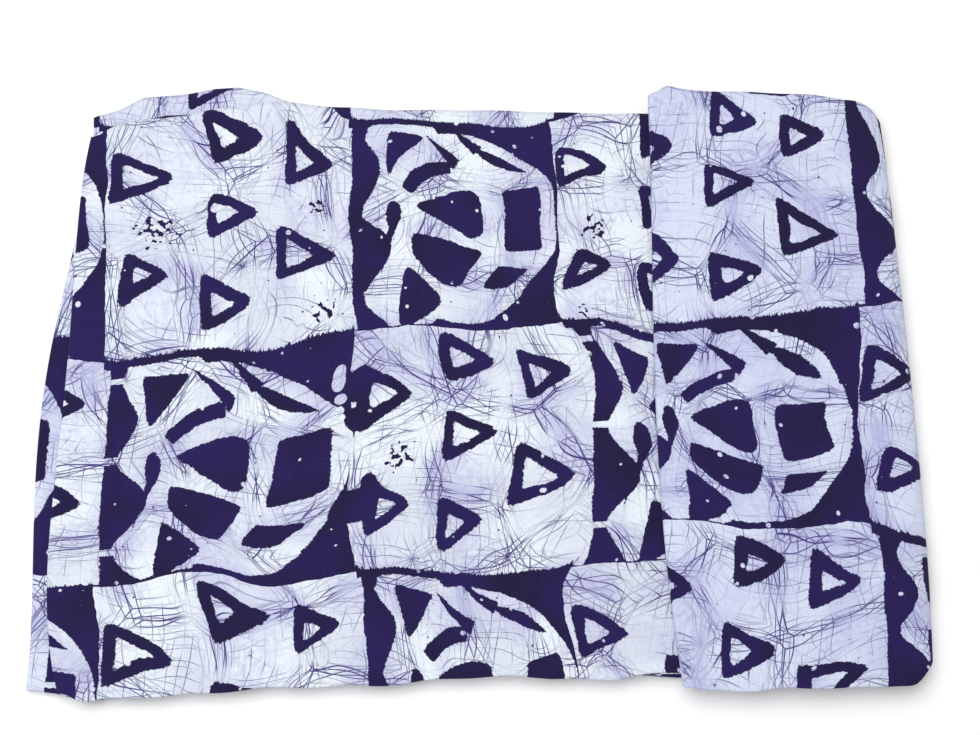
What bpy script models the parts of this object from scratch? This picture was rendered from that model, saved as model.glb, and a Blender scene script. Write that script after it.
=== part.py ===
"""A folded batik cloth: one cotton sheet, folded double along its length and then back and forth.

The sheet is a 2.74 m (3 yard) cut of 0.91 m (36 inch) cotton. Its long fold lies at the front and its two
selvedges at the back. The doubled sheet runs in six passes between folds at the left and the right. The last
pass comes round the right side from below and lies on top as a narrow flap, with its end tucked under it.

Frame: metres, +X to the right, +Y to the back, +Z up. The origin is the middle of the footprint, on the
surface that the bundle lies on. The tables are in millimetres, as MM turns them to metres.
"""

from collections import namedtuple

import bpy
import numpy as np

MM = 0.001

# The sheet and how its plies lie on each other
THICKNESS = 1.1
PLY_PITCH = 1.6
PASS_PITCH = 2 * PLY_PITCH
ROLL_REACH = 22.0

# How finely the folds and the passes are divided
LONGEST_STEP = 64.0
STEPS_ROUND_FOLD = 6
STEPS_ROUND_ROLL = 12
STEPS_ROUND_FRONT = 6
STEPS_ACROSS = 7
CLEAR_OF_TURN = 4.0

# The x of the outer face of each fold, and of the sheet's two ends, where it crosses these five y
CROSSINGS = (-200, -100, 0, 100, 200)
FOLD_LINES = {
    "hidden end": (271, 271, 270, 269, 268),
    "left top fold": (-294, -301.8, -301.4, -304, -301),
    "right inner fold": (299, 302, 301, 303, 300),
    "left low fold": (-309, -316.5, -318, -308, -301.5),
    "right roll": (314.6, 318, 318.4, 317.6, 315.5),
    "flap fold": (137.3, 130.6, 129.6, 131.5, 133),
    "tucked end": (264, 265, 265, 266, 264),
}

# Each pass starts at one line and ends at the next. Its level counts the doubled plies from the bottom. A row
# gives, at one x, the y of the long fold and of the selvedges of ply a and ply b. Ply a is uppermost on the
# top pass and on the flap.
Row = namedtuple("Row", "x front back_a back_b")
Pass = namedtuple("Pass", "level start end rows")
PASSES = (
    # The top pass, from its end hidden under the flap to the left
    Pass(3, "hidden end", "left top fold", (
        Row(270, -220, 213, 209),
        Row(225, -221, 214, 211),
        Row(180, -221, 213, 213),
        Row(129, -219.5, 214, 212),
        Row(107, -220, 214.5, 211),
        Row(87, -224, 215, 210),
        Row(60, -222, 216, 211),
        Row(-8, -222, 217.5, 214),
        Row(-63, -226, 218, 216),
        Row(-117, -228, 221, 217),
        Row(-164, -230, 224.5, 219),
        Row(-202, -232.5, 219.5, 216),
        Row(-245, -235, 211.5, 209),
        Row(-270, -237, 208, 206),
        Row(-286, -238, 203, 200),
        Row(-296, -232, 195, 193),
    )),
    # Back to the right under the top pass
    Pass(2, "left top fold", "right inner fold", (
        Row(-296, -231, 196, 195),
        Row(-270, -234, 206, 209),
        Row(-190, -229, 212, 215),
        Row(-60, -222, 213, 214),
        Row(90, -218, 210, 212),
        Row(230, -220, 208, 213),
        Row(296, -216, 205, 209),
    )),
    # To the left again, with the ply that stands out at the back
    Pass(1, "right inner fold", "left low fold", (
        Row(296, -216, 207, 205),
        Row(200, -220, 213, 209),
        Row(60, -218.5, 210, 213),
        Row(-90, -221, 217, 211),
        Row(-148, -224, 225, 214),
        Row(-171, -225, 235, 220),
        Row(-200, -227, 242, 225),
        Row(-235, -230, 236, 221),
        Row(-262, -235, 231, 217),
        Row(-284, -236, 225, 213),
        Row(-302, -229, 208, 204),
    )),
    # The bottom pass, on the surface that the bundle lies on
    Pass(0, "left low fold", "right roll", (
        Row(-302, -229, 207, 204),
        Row(-270, -234, 216, 212),
        Row(-150, -223, 215, 217),
        Row(20, -217.5, 211, 214),
        Row(170, -219, 216, 212),
        Row(270, -223, 220, 214),
        Row(292, -221, 217, 212),
    )),
    # The flap, which comes up round the right side and lies on top
    Pass(5, "right roll", "flap fold", (
        Row(292, -228, 224, 218),
        Row(266, -229.5, 227.5, 220),
        Row(238, -229, 229, 221),
        Row(209, -230, 230, 224),
        Row(177, -232, 231, 225),
        Row(158, -232, 232.5, 226),
        Row(143, -231.5, 234.5, 227),
        Row(135, -229, 229, 223),
    )),
    # The end, turned back under the flap
    Pass(4, "flap fold", "tucked end", (
        Row(135, -228, 226, 222),
        Row(160, -229, 228, 225),
        Row(230, -226, 222, 224),
        Row(265, -224, 217, 220),
    )),
)

# The y of the long fold and of both selvedges at the outermost of the roll, whose corners are rounded
ROLL_ENDS = (-211, 207, 204)

# Soft swells and hollows of the pile: where each lies, its half lengths, and the share it adds to the height
Swell = namedtuple("Swell", "x y across along share")
SWELLS = (
    Swell(-190, -60, 110, 150, 0.07),
    Swell(-40, 120, 90, 80, -0.05),
    Swell(70, -110, 80, 100, 0.06),
    Swell(215, 60, 60, 130, 0.05),
    Swell(-285, 190, 60, 50, -0.12),
    Swell(-285, -215, 60, 45, -0.10),
    Swell(300, 205, 40, 45, -0.12),
    Swell(300, -215, 40, 45, -0.10),
)

# One place along the sheet: the middle of its two plies, the way it runs there, how it follows the fold lines
# on either side of it, and its y extents
Station = namedtuple("Station", "x height run rise start end share front back_a back_b")


def clear_scene():
    """Take away whatever the scene holds."""
    for thing in list(bpy.data.objects):
        bpy.data.objects.remove(thing, do_unlink=True)


def line_x(name, y):
    """The x of a fold line at each y, on the curve of fourth degree through its five given places."""
    return np.polyval(np.polyfit(CROSSINGS, FOLD_LINES[name], 4), y)


def level_height(level):
    """The height of the middle of a doubled pass, with the lowest face of the sheet at zero."""
    return THICKNESS / 2 + PLY_PITCH / 2 + level * PASS_PITCH


def pass_stations(part):
    """Stations at each row of a pass, and between rows that lie far apart."""
    height = level_height(part.level)
    run = np.sign(part.rows[-1].x - part.rows[0].x)
    length = part.rows[-1].x - part.rows[0].x
    stations = []
    for row, following in zip(part.rows, part.rows[1:] + part.rows[-1:]):
        steps = max(1, int(np.ceil(abs(following.x - row.x) / LONGEST_STEP)))
        for step in range(steps):
            mixed = [a + (b - a) * step / steps for a, b in zip(row, following)]
            share = (mixed[0] - part.rows[0].x) / length
            stations.append(Station(mixed[0], height, run, 0, part.start, part.end, share, *mixed[1:]))
    return stations


def turn_stations(before, after):
    """Stations round the fold between two passes: half an ellipse, from one height to the other."""
    line = before.end
    rolled = line == "right roll"
    low, high = level_height(before.level), level_height(after.level)
    half_height = (high - low) / 2
    reach = ROLL_REACH if rolled else abs(half_height)
    side = np.sign(before.rows[-1].x - before.rows[0].x)
    centre = line_x(line, 0) - side * (reach + (PLY_PITCH + THICKNESS) / 2)
    steps = STEPS_ROUND_ROLL if rolled else STEPS_ROUND_FOLD
    first, last = before.rows[-1][1:], after.rows[0][1:]
    stations = []
    for step in range(steps + 1):
        angle = np.pi * step / steps
        x = centre + side * reach * np.sin(angle)
        height = low + half_height * (1 - np.cos(angle))
        run, rise = side * reach * np.cos(angle), half_height * np.sin(angle)
        speed = np.hypot(run, rise)
        extents = [a + (b - a) * step / steps for a, b in zip(first, last)]
        if rolled:
            extents = [y + (end - y) * np.sin(angle) ** 3 for y, end in zip(extents, ROLL_ENDS)]
        stations.append(Station(x, height, run / speed, rise / speed, line, line, 0, *extents))
    return stations


def sheet_stations():
    """All stations, from the hidden end to the tucked one. A pass keeps only those that lie clear of its folds."""
    turns = [turn_stations(before, after) for before, after in zip(PASSES, PASSES[1:])]
    stations = []
    for index, part in enumerate(PASSES):
        inner = pass_stations(part)
        if index:
            start = turns[index - 1][-1]
            inner = [s for s in inner if (s.x - start.x) * s.run > CLEAR_OF_TURN]
            stations += turns[index - 1]
        if index < len(turns):
            end = turns[index][0]
            inner = [s for s in inner if (end.x - s.x) * s.run > CLEAR_OF_TURN]
        stations += inner
    return stations


def across_sheet(station):
    """The sheet's line from one selvedge round the long fold to the other: its y and its offset from the middle."""
    radius = PLY_PITCH / 2
    bend = station.front + radius + THICKNESS / 2
    ply = np.linspace(0, 1, STEPS_ACROSS + 1)
    angle = np.linspace(0, np.pi, STEPS_ROUND_FRONT + 1)[1:-1]
    y_a = station.back_a + (bend - station.back_a) * ply
    y_b = bend + (station.back_b - bend) * ply
    y = np.concatenate([y_a, bend - radius * np.sin(angle), y_b])
    offset = np.concatenate([np.full(ply.size, radius), radius * np.cos(angle), np.full(ply.size, -radius)])
    return y, offset


def swell(x, y):
    """How much the pile is drawn out in height at each place: one plus the sum of the soft swells."""
    total = np.ones_like(x)
    for one in SWELLS:
        total += one.share * np.exp(-(((x - one.x) / one.across) ** 2) - ((y - one.y) / one.along) ** 2)
    return total


def sheet_points():
    """The middle surface of the sheet as a grid of points, station by station."""
    rows = []
    for station in sheet_stations():
        y, offset = across_sheet(station)
        shift_start = line_x(station.start, y) - line_x(station.start, 0)
        shift_end = line_x(station.end, y) - line_x(station.end, 0)
        shift = shift_start * (1 - station.share) + shift_end * station.share
        x = station.x + shift + offset * station.rise
        height = station.height - offset * station.run
        ground = THICKNESS / 2
        rows.append(np.stack([x, y, ground + (height - ground) * swell(x, y)], axis=1))
    return np.array(rows)


def cloth_material():
    """Washed cotton: matt, with the pale violet-white of its undyed ground."""
    material = bpy.data.materials.new("dyed_cotton")
    material.use_nodes = True
    shader = material.node_tree.nodes["Principled BSDF"]
    shader.inputs["Base Color"].default_value = (0.55, 0.57, 0.72, 1)
    shader.inputs["Roughness"].default_value = 0.9
    shader.inputs["Metallic"].default_value = 0.0
    return material


def make_cloth():
    """The sheet's middle surface as a mesh, with a Solidify modifier for its thickness."""
    points = sheet_points()
    stations, across = points.shape[:2]
    low, high = points.reshape(-1, 3).min(axis=0), points.reshape(-1, 3).max(axis=0)
    points[..., :2] -= (low[:2] + high[:2]) / 2
    index = np.arange(stations * across).reshape(stations, across)
    faces = np.stack([index[:-1, :-1], index[1:, :-1], index[1:, 1:], index[:-1, 1:]], axis=-1)
    mesh = bpy.data.meshes.new("batik_cloth")
    mesh.from_pydata((points.reshape(-1, 3) * MM).tolist(), [], faces.reshape(-1, 4).tolist())
    mesh.materials.append(cloth_material())
    mesh.shade_smooth()
    cloth = bpy.data.objects.new("batik_cloth", mesh)
    bpy.context.scene.collection.objects.link(cloth)
    solidify = cloth.modifiers.new("sheet thickness", "SOLIDIFY")
    solidify.thickness = THICKNESS * MM
    solidify.offset = 0
    return cloth


clear_scene()
make_cloth()
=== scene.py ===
"""The looks of a folded batik cloth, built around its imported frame.

One sheet of thin cotton follows the folds of the CAD solid: doubled along its length, laid back and forth,
and brought round the right side to lie on top as a flap. Its dye is a material that reads the cloth's own
UV map, so the stamped blocks follow the sheet round every fold.

All tables are in millimetres, as MM turns them to metres.
"""

from collections import namedtuple

import bpy
import numpy as np
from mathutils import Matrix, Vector


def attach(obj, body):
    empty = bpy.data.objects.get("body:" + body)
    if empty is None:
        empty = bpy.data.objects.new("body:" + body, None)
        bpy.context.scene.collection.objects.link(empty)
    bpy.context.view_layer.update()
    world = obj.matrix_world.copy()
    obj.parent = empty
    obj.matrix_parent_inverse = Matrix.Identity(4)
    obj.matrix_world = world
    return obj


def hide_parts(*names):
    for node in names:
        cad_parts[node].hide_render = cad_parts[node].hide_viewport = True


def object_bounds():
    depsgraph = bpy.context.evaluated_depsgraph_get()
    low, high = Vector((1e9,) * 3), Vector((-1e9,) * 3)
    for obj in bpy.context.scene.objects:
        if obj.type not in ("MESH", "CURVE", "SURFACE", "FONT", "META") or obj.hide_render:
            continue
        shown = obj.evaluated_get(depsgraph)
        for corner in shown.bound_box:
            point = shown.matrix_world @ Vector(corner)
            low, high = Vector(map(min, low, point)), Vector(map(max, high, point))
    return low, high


bl_info = {
    "name": "Folded batik cloth",
    "version": (1, 0, 0),
    "blender": (4, 5, 0),
    "location": "View3D > Sidebar > Batik",
    "description": "A wax-resist dyed cotton sheet, folded into a flat bundle, with floor, lights and camera",
    "category": "Object",
}

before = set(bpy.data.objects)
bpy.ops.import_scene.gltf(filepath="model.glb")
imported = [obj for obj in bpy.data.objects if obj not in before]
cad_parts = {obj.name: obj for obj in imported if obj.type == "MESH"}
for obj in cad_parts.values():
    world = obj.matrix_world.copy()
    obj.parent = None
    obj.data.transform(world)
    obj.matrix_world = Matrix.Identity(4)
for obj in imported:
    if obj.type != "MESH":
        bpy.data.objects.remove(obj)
CAD_LOW, CAD_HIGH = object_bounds()

MM = 0.001
CLOTH_NODE = "batik_cloth"

# How the plies lie on each other, as in the solid
PLY_PITCH = 1.6
PASS_PITCH = 2 * PLY_PITCH
LOWEST_PLY = 0.55
ROLL_REACH = 22.0

# The x of the outer face of each fold, and of the sheet's two ends, where it crosses these five y
CROSSINGS = (-200, -100, 0, 100, 200)
FOLD_LINES = {
    "hidden end": (271, 271, 270, 269, 268),
    "left top fold": (-294, -301.8, -301.4, -304, -301),
    "right inner fold": (299, 302, 301, 303, 300),
    "left low fold": (-309, -316.5, -318, -308, -301.5),
    "right roll": (314.6, 318, 318.4, 317.6, 315.5),
    "flap fold": (137.3, 130.6, 129.6, 131.5, 133),
    "tucked end": (264, 265, 265, 266, 264),
}
FOLD_WALL = 1.35

# Each pass runs from one line to the next. Its level counts the doubled plies from the bottom, and step is
# how finely it is divided. A row gives, at one x, the y of the long fold and of the selvedges of ply a and
# ply b.
Row = namedtuple("Row", "x front back_a back_b")
Pass = namedtuple("Pass", "level start end step rows")
PASSES = (
    # The top pass, from its end hidden under the flap to the left
    Pass(3, "hidden end", "left top fold", 4.5, (
        Row(270, -220, 213, 209), Row(225, -221, 214, 211), Row(180, -221, 213, 213),
        Row(129, -219.5, 214, 212), Row(107, -220, 214.5, 211), Row(87, -224, 215, 210),
        Row(60, -222, 216, 211), Row(-8, -222, 217.5, 214), Row(-63, -226, 218, 216),
        Row(-117, -228, 221, 217), Row(-164, -230, 224.5, 219), Row(-202, -232.5, 219.5, 216),
        Row(-245, -235, 211.5, 209), Row(-270, -237, 208, 206), Row(-286, -238, 203, 200),
        Row(-296, -232, 195, 193),
    )),
    # Back to the right under the top pass
    Pass(2, "left top fold", "right inner fold", 26, (
        Row(-296, -231, 196, 195), Row(-270, -234, 206, 209), Row(-190, -229, 212, 215),
        Row(-60, -222, 213, 214), Row(90, -218, 210, 212), Row(230, -220, 208, 213), Row(296, -216, 205, 209),
    )),
    # To the left again, with the ply that stands out at the back
    Pass(1, "right inner fold", "left low fold", 20, (
        Row(296, -216, 207, 205), Row(200, -220, 213, 209), Row(60, -218.5, 210, 213),
        Row(-90, -221, 217, 211), Row(-148, -224, 225, 214), Row(-171, -225, 235, 220),
        Row(-200, -227, 242, 225), Row(-235, -230, 236, 221), Row(-262, -235, 234, 219),
        Row(-284, -236, 230, 216), Row(-302, -229, 216, 210),
    )),
    # The bottom pass, on the surface that the bundle lies on
    Pass(0, "left low fold", "right roll", 30, (
        Row(-302, -229, 213, 208), Row(-270, -234, 216, 212), Row(-150, -223, 215, 217),
        Row(20, -217.5, 211, 214), Row(170, -219, 216, 212), Row(270, -223, 220, 214),
        Row(292, -221, 217, 212),
    )),
    # The flap, which comes up round the right side and lies on top
    Pass(5, "right roll", "flap fold", 4.5, (
        Row(292, -228, 224, 218), Row(266, -229.5, 227.5, 220), Row(238, -229, 229, 221),
        Row(209, -230, 230, 224), Row(177, -232, 231, 225), Row(158, -232, 232.5, 226),
        Row(143, -231.5, 234.5, 227), Row(135, -229, 229, 223),
    )),
    # The end, turned back under the flap
    Pass(4, "flap fold", "tucked end", 14, (
        Row(135, -228, 226, 222), Row(160, -229, 228, 225), Row(230, -226, 222, 224),
        Row(265, -224, 217, 220),
    )),
)
STEPS_ROUND_FOLD = 8
STEPS_ROUND_ROLL = 20
STEPS_ROUND_FRONT = 8
STEPS_PLY_A = 96
STEPS_PLY_B = 44

# The y of the long fold and of both selvedges at the outermost of the roll, whose corners are rounded
ROLL_ENDS = (-211, 207, 204)

# Soft swells and hollows of the pile: where each lies, its half lengths, and the share it adds to the height
Swell = namedtuple("Swell", "x y across along share")
SWELLS = (
    Swell(-190, -60, 110, 150, 0.07),
    Swell(-40, 120, 90, 80, -0.05),
    Swell(70, -110, 80, 100, 0.06),
    Swell(215, 60, 60, 130, 0.05),
    Swell(-285, 190, 60, 50, -0.12),
    Swell(-285, -215, 60, 45, -0.10),
    Swell(300, 205, 40, 45, -0.12),
    Swell(300, -215, 40, 45, -0.10),
)

# Soft creases in the uppermost ply: the middle of each, the way it runs in degrees from +X, its half length
# and half width, and its height, which is below zero for a trough
Crease = namedtuple("Crease", "level x y turn length width height")
CREASES = (
    # The press mark that runs from the back edge to the front
    Crease(3, -111, 110, 90, 130, 6, -0.9),
    Crease(3, -104, -130, 92, 120, 5, -0.9),
    Crease(3, -97, -130, 92, 120, 5, 0.7),
    # Short pleats at the front edge
    Crease(3, -131, -215, 88, 40, 4, -1.1),
    Crease(3, -124, -215, 88, 40, 4, 0.9),
    Crease(3, -101, -222, 95, 34, 4, -1.0),
    Crease(3, 20, -222, 80, 22, 5, 0.9),
    Crease(3, 52, -218, 100, 26, 5, -0.9),
    Crease(3, 90, -215, 84, 26, 6, 1.0),
    # Slack near the back edge and beside the flap
    Crease(3, -30, 200, 4, 60, 7, 0.8),
    Crease(3, 95, 190, 35, 40, 7, 0.9),
    Crease(3, 108, 60, 88, 110, 9, 0.7),
    Crease(3, -240, 150, 60, 60, 9, 0.7),
    # The flap
    Crease(5, 190, 150, 70, 80, 10, 0.7),
    Crease(5, 246, 10, 86, 120, 8, -0.7),
    Crease(5, 205, -170, 100, 60, 8, 0.8),
    Crease(5, 150, -90, 92, 90, 8, 0.6),
)

# The creases and the slack reach their full height on plies that lie this high
CREASING_FULL = 12.0

# The stamped blocks stand in columns and rows, this far apart
REPEAT = (176.0, 178.0)
COLUMN_ZERO_X = -282.0
ROW_ZERO_Y = 207.0
FLAP_SHIFT = 2500.0

# Where the corners and edges of the blocks really lie, as no hand stamps them evenly: x, y, column and row. A
# corner has whole numbers for its column and row. On the flap, x is short of the cloth's own measure by
# FLAP_SHIFT.
PANEL_ANCHORS = (
    (-289, 198, 0, -0.05), (-284, 138, 0, -0.4), (-277, 55, 0, -0.85), (-273, 7, 0, -1), (-271, -62, 0, -1.4),
    (-271, -113, 0, -1.7), (-266, -160, 0, -2), (-259, -198, 0, -2.25), (-257, -232, 0, -2.45),
    (-185, 16, 0.5, -1), (-190, -148, 0.45, -2), (-245, 214, 0.25, 0), (-200, 226, 0.5, 0),
    (-145, 230, 0.75, 0), (-120, 229, 0.88, 0), (-229, 157, 0.27, -0.27), (-223, 165, 0.30, -0.23),
    (-161, 191, 0.64, -0.11), (-161, 128, 0.65, -0.43), (-106, 172, 0.95, -0.19), (-102, 206, 1, 0),
    (-100, 150, 1, -0.3), (-97, 90, 1, -0.65), (-91, 32, 1, -1), (-88, -60, 1, -1.5), (-84, -148, 1, -2),
    (-80, -190, 1, -2.3), (-76, -230, 1, -2.5), (0, 33, 1.58, -1), (-58, 206, 1.2, 0), (-19, 204, 1.49, 0),
    (20, 202, 1.77, 0), (53, 203, 2, 0), (56, 178, 2, -0.16), (60, 121, 2, -0.47), (60, 60, 2, -0.86),
    (61, 40, 2, -0.99), (78, 21, 2, -1.12), (81, -29, 2, -1.38), (79, -75, 2, -1.63), (78, -111, 2, -1.83),
    (76, -140, 2, -1.98), (12, -151, 1.654, -2), (34, -151, 1.82, -2), (56, -156, 2, -2.05),
    (61, -184, 2, -2.25), (69, -215, 2, -2.48), (34, -179, 1.747, -2.195), (49, -211, 1.827, -2.36),
    (-143, -22, 0.747, -1.195), (100, 226, 2.25, 0), (64, 191, 2.023, -0.135), (64, 153, 2.006, -0.43),
    (104, 163, 2.273, -0.27), (79, 100, 2.085, -0.624), (64, 63, 2.034, -0.893), (105, 83, 2.284, -0.725),
    (35, 126, 1.832, -0.497), (-22, 93, 1.474, -0.697), (-19, 130, 1.48, -0.475), (-43, 63, 1.338, -0.862),
    (-59, 187, 1.256, -0.185), (-17, 173, 1.545, -0.219), (-63, 127, 1.222, -0.5), (-128, -73, 0.83, -1.49),
    (-196, -108, 0.45, -1.71), (-151, -123, 0.75, -1.77), (-46, -100, 1.28, -1.72), (20, 7, 1.64, -1.11),
    (73, -4, 1.95, -1.19), (74, -86, 1.97, -1.62), (-202, -210, 0.27, -2.27), (-137, -178, 0.64, -2.11),
    (-88, -188, 0.95, -2.19), (106, -193, 2.27, -2.27), (130, 29, 2.4, -1), (130, -140, 2.35, -2),
)
FLAP_ANCHORS = (
    (107, 140, -12, -0.5), (107, -40, -12, -1.5), (107, -180, -12, -2.4), (180, 240, -11.6, 0),
    (282, 238, -11, 0), (222, 203, -11.36, -0.11), (217, 152, -11.35, -0.43), (184, -41, -11.48, -1.47),
    (232, -48, -11.17, -1.49), (221, -144, -11.36, -2.11), (271, -162, -11.05, -2.19),
    (210, -204, -11.35, -2.43), (282, 150, -11, -0.4), (282, 110, -11, -0.6), (284, 60, -11, -0.88),
    (133, 34, -11.85, -1), (175, 38, -11.6, -1), (221, 41, -11.35, -1), (270, 50, -11.07, -1),
    (300, 56, -10.9, -1), (280, 0, -11, -1.25), (276, -60, -11, -1.65), (144, -113, -11.8, -2),
    (233, -117, -11.3, -2), (268, -114, -11.04, -2), (300, -124, -10.9, -2), (278, -167, -11, -2.3),
    (277, -211, -11, -2.6),
)
# How far an anchor reaches in each pass over them, and how strongly a place is held where it is
ANCHOR_REACHES = (42.0, 30.0, 22.0)
ANCHOR_GRIPS = (0.02, 0.3, 0.3)

# The block of hollow triangles, from the middle of its block: upper and lower corner of the base, then the
# tip
Triangle = namedtuple("Triangle", "upper lower tip")
TRIANGLES = (
    Triangle((-84, 65), (-87, 11), (-40, 41)),
    Triangle((-73, -22), (-82, -70), (-38, -40)),
    Triangle((-16, 87), (-17, 48), (25, 69)),
    Triangle((-19, 32), (-18, -13), (26, 12)),
    Triangle((-20, -32), (-20, -78), (23, -52)),
    Triangle((36, 79), (39, 33), (80, 55)),
    Triangle((35, 4), (34, -46), (83, -22)),
)
# How round the corners of a triangle's outline and of its hollow are
TRIANGLE_ROUNDNESS = (15.0, 4.0)
# The dark band between the two: the size of a soft noise, the range of the noise over which the band grows
# to its usual width, and a range over which it swells further
BAND_NOISE = 27.0
BAND_GROWTH = (0.11, 0.22, -1.5, 7.5)
BAND_SWELLING = (0.40, 0.70, 0.0, 2.2)

# The ring block: a pale disc and a pale upright field on a dark ground, with plain dark shapes in them
RING_CENTRE = (5.0, -1.0)
RING_RADIUS = 82.0
RING_JOIN = 8.0
FIELD = ((-98, 85.5), (-16, 85.5), (-16, -86), (-98, -86))
FIELD_ROUNDNESS = 12.0
DARK_SHAPES = {
    # Name: how round its corners are, then the corners
    "wedge": (8, (-61, 78), (-25, 73), (-54, 34)),
    "hook tip": (3, (-27, 78), (10, 55), (6, 44)),
    "hook tail": (3, (-34, 27), (-44, 16), (-52, 8)),
    "seed": (9, (-54, 17), (-46, 16), (-41, 2), (-49, -16), (-57, 0)),
    "stalk": (2, (-53, -8), (-46, -8), (-62, -46)),
    "fan": (10, (-33, 10), (9, 28), (21, 25), (26, -13), (15, -19)),
    "bar": (8, (42, 25), (73, 25), (76, -21), (43, -26)),
    "bowl": (9, (-34, -12), (26, -28), (5, -58), (-12, -56), (-35, -31)),
    "sickle": (7, (22, -59), (38, -39), (69, -40), (49, -57)),
    "corner": (10, (-40, -38), (-9, -68), (-22, -82), (-48, -91)),
    "lens tail": (2, (-3, 88), (29, 69), (22, 60)),
}
# The two discs whose overlap is the lens, and the arc beside the fan, which ends at these angles in degrees
LENS = (((12.0, 0.0), 68.0), ((78.0, 114.0), 74.5))
ARC_CENTRE = (11.0, -18.0)
ARC_RADIUS = 64.0
ARC_BAND = 12.0
ARC_ENDS = (97.0, 139.0)
ARC_ROUNDNESS = 5.0
SHAPE_JOIN = 1.5

# The dark column at the left of a ring block: its left edge, where its waists lie, and how far its right
# edge swings out between them, from one y to another. Its first waist lies at the top, and its waves per
# millimetre below that grow fewer with each millimetre.
COLUMN_LEFT = -85.0
COLUMN_WAIST_X = -75.0
COLUMN_SWING = (36.0, -4.0, 6.5, 12.0)
COLUMN_TOP = 76.0
COLUMN_WAVES = 0.0164
COLUMN_SLOWING = -0.0000125
COLUMN_SLOPE = 0.85
COLUMN_ROUNDNESS = 3.0
# A bar of wax cuts a waist where the wave's cosine is above this, which chance raises past 1 in some blocks
BAR_FROM = 0.965
BAR_CHANCE = 0.07
BAR_STEEPNESS = 70.0

# Half the width of a block of triangles, its lower and upper edge, how round it is, and how far its dye
# bristles along the threads
BLOCK_EDGES = (90.0, -88.0, 97.0)
BLOCK_ROUNDNESS = 14.0
BRISTLE = 2.0

# How far chance moves each stamp
STAMP_NUDGE = 4.0

# How uneven every outline is: the size of the unevenness and how far it reaches
UNEVENNESS = ((42.0, 2.6), (9.0, 0.9))
RAGGED = (2.3, 0.9)

# Loose clusters of crumbs, where the wax flaked: column, row and radius
CRUMBS = (
    (0.20, -0.52, 17.0),
    (0.87, -0.40, 10.0),
    (0.88, -0.89, 12.0),
    (2.16, -0.53, 14.0),
    (2.10, -0.95, 8.0),
    (1.20, -1.53, 14.0),
)

# Round places that the wax missed, and drops of wax in the dye: column, row and radius
MISSED = ((1.03, -1.22, 11.0), (1.02, -1.36, 10.0), (1.02, -1.72, 13.0), (1.08, -1.63, 6.0))
DROPS = (
    (0.957, -1.150, 4.4), (0.957, -1.188, 4.6), (0.962, -1.252, 4.3), (0.955, -1.303, 2.7),
    (0.952, -1.338, 2.9), (1.03, -1.44, 2.2),
)
# How softly such places join each other, and how softly the missed ones join the dye
SPOT_JOIN = 5.0
MISSED_JOIN = 6.0

# Small drops of wax in the dye: how far apart they may lie, the share of places without one, and the largest
DROP_SPACING = 19.0
DROP_RARITY = 0.62
DROP_RADIUS = 2.3

# Size of a crumb
CRUMB_SIZE = 4.6

# Threads: real ones lie 0.35 mm apart, and are drawn at three times that to show at all
THREAD_SPACING = 1.1
THREAD_LENGTH = 26.0

# Cracks: where a line is darkest and where it has faded out, from its middle
LINE_EDGES = (0.12, 0.62)
STRAIGHT_EDGES = (0.08, 0.5)
STAR_EDGES = (0.1, 0.55)
HAIR_EDGES = (0.05, 0.5)

# How wide apart the bunches of cracks lie, how far one reaches, and its nets: how far the drift, and then the
# crossed drift, moves each of them, and how far apart its lines lie
BUNCH_SIZE = 62.0
BUNCH_REACH = 15.0
BUNCH_NETS = (((34, 3.6), (-26, 5.2)), ((38, 2.7), (-30, 4.4)))

# Straight families of cracks: the way that each runs square to, its spacing and how far the drift moves it
LEVEL_CRACKS = ((0.06, 1), 7.5, 26)
UPRIGHT_CRACKS = ((1, -0.10), 8.5, -24)
STREAK_SIZE = 9.0
STREAK_STRETCH = 7.0

# Stars of cracks: how far apart they lie, their rays to a radian, and the reach of the rays and of the halo
STAR_SIZE = 150.0
STAR_RAYS = 2.2
STAR_REACH = 34.0
STAR_HALO = 14.0

# The net of hair cracks, and how wide the haze is beside the dye
HAIR_SIZE = 15.0
HAZE_REACH = 13.0
HAZE_SHARE = 0.42

UV_NAME = "cloth"

# The stage, in metres: half the floor's width, the soft box's size and place, and where the camera aims
FLOOR_HALF = 6.0
SOFT_BOX_SIZE = (2.4, 1.8)
SOFT_BOX_PLACE = (-0.5, 0.2, 1.75)
CAMERA_AIM = (0.010, 0.001, 0.012)
ROOM_LIGHT = 0.62


def smooth_curve(at, xs, ys):
    """A cubic through the points (xs, ys), whose slope at each is the mean of the slopes on either side."""
    order = np.argsort(xs)
    xs, ys = np.asarray(xs, float)[order], np.asarray(ys, float)[order]
    at = np.clip(at, xs[0], xs[-1])
    slope = np.gradient(ys, xs)
    k = np.clip(np.searchsorted(xs, at) - 1, 0, len(xs) - 2)
    span = xs[k + 1] - xs[k]
    t = (at - xs[k]) / span
    ends = ys[k] * (1 + 2 * t) * (1 - t) ** 2 + ys[k + 1] * t**2 * (3 - 2 * t)
    return ends + span * (slope[k] * t * (1 - t) ** 2 - slope[k + 1] * t**2 * (1 - t))


def line_x(name, y):
    """The x of a fold line at each y, on the curve of fourth degree through its five given places."""
    return np.polyval(np.polyfit(CROSSINGS, FOLD_LINES[name], 4), y)


def level_height(level):
    """The height of the middle of a doubled pass."""
    return LOWEST_PLY + PLY_PITCH / 2 + level * PASS_PITCH


def fold_centre(before, after):
    """The x about which the sheet turns between two passes, how far it reaches out, and to which side."""
    side = np.sign(before.rows[-1].x - before.rows[0].x)
    rolled = before.end == "right roll"
    reach = ROLL_REACH if rolled else abs(level_height(after.level) - level_height(before.level)) / 2
    return line_x(before.end, 0) - side * (reach + FOLD_WALL), reach, side


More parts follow.
